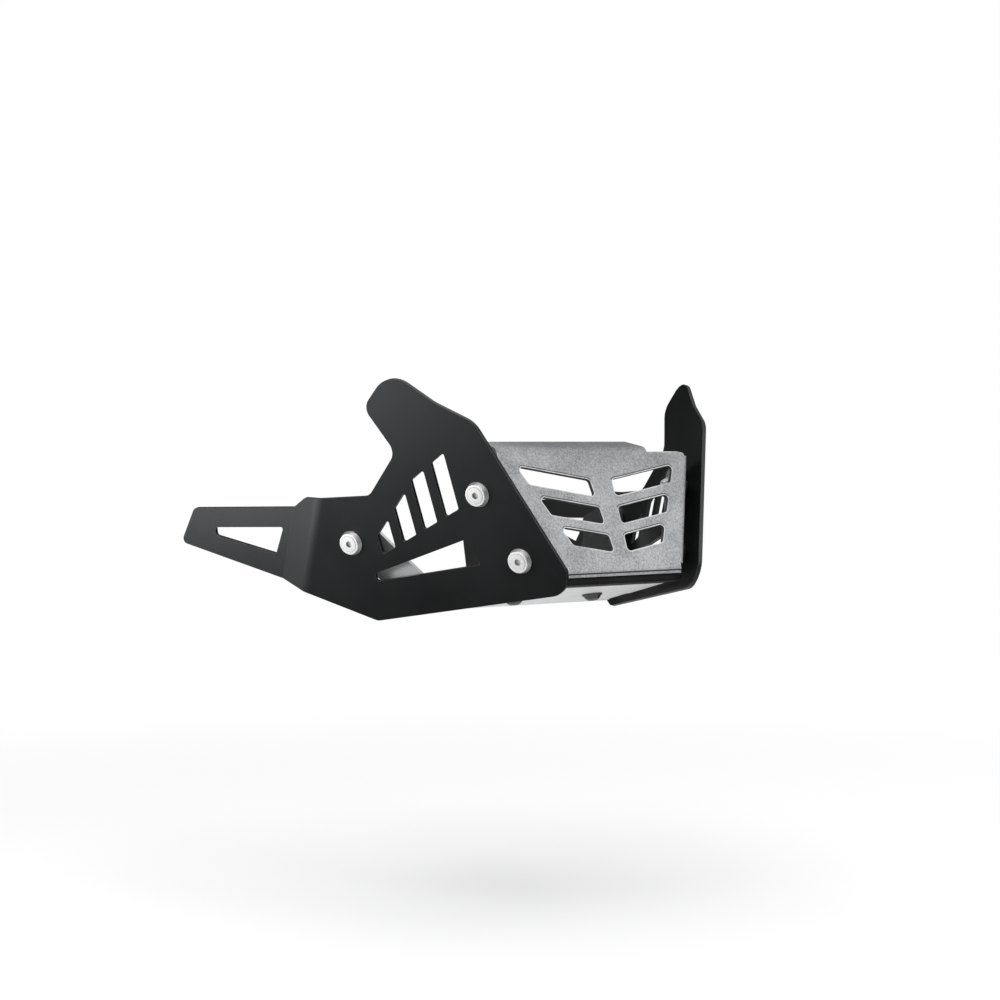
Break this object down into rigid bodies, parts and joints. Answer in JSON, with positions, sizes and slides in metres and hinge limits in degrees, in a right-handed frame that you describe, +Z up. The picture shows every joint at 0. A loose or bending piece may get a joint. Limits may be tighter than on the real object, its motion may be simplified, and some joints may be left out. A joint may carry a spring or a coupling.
{
  "type": "motorbike engine guard",
  "caption": "Belly-mounted motorbike engine guard of folded sheet: leaning slotted side plates, a vented front panel, a ramped base plate and brackets for the engine's bolts.",
  "frame": {"origin": "on the middle plane, level with the side plates' lowest corners, midway along the guard", "axes": "+X to the bike's left, +Y to the bike's rear, +Z up"},
  "size_m": [0.3582, 0.353, 0.1826],
  "materials": {
    "plate_black": "matte black powder coat",
    "panel_grey": "grey fine-textured powder coat",
    "base_silver": "satin silver coat",
    "trim_rubber": "black rubber",
    "bracket_black": "matte black coat",
    "rosette_aluminium": "bright turned aluminium",
    "bolt_steel": "zinc-plated steel",
    "base_bolt_dark": "dark oxide steel"
  },
  "bodies": {
    "root": {"right_side_plate": "plate_black", "left_side_plate": "plate_black", "front_panel": "panel_grey", "base_plate": "base_silver", "front_edge_trim": "trim_rubber", "right_engine_bracket": "bracket_black", "left_engine_bracket": "bracket_black", "rosettes": "rosette_aluminium", "side_bolts": "bolt_steel", "spacer_sleeves": "bracket_black", "side_washers": "bolt_steel", "side_nuts": "bolt_steel", "base_bolts": "base_bolt_dark", "base_washers": "base_bolt_dark", "base_nuts": "bolt_steel"}
  },
  "joints": []
}
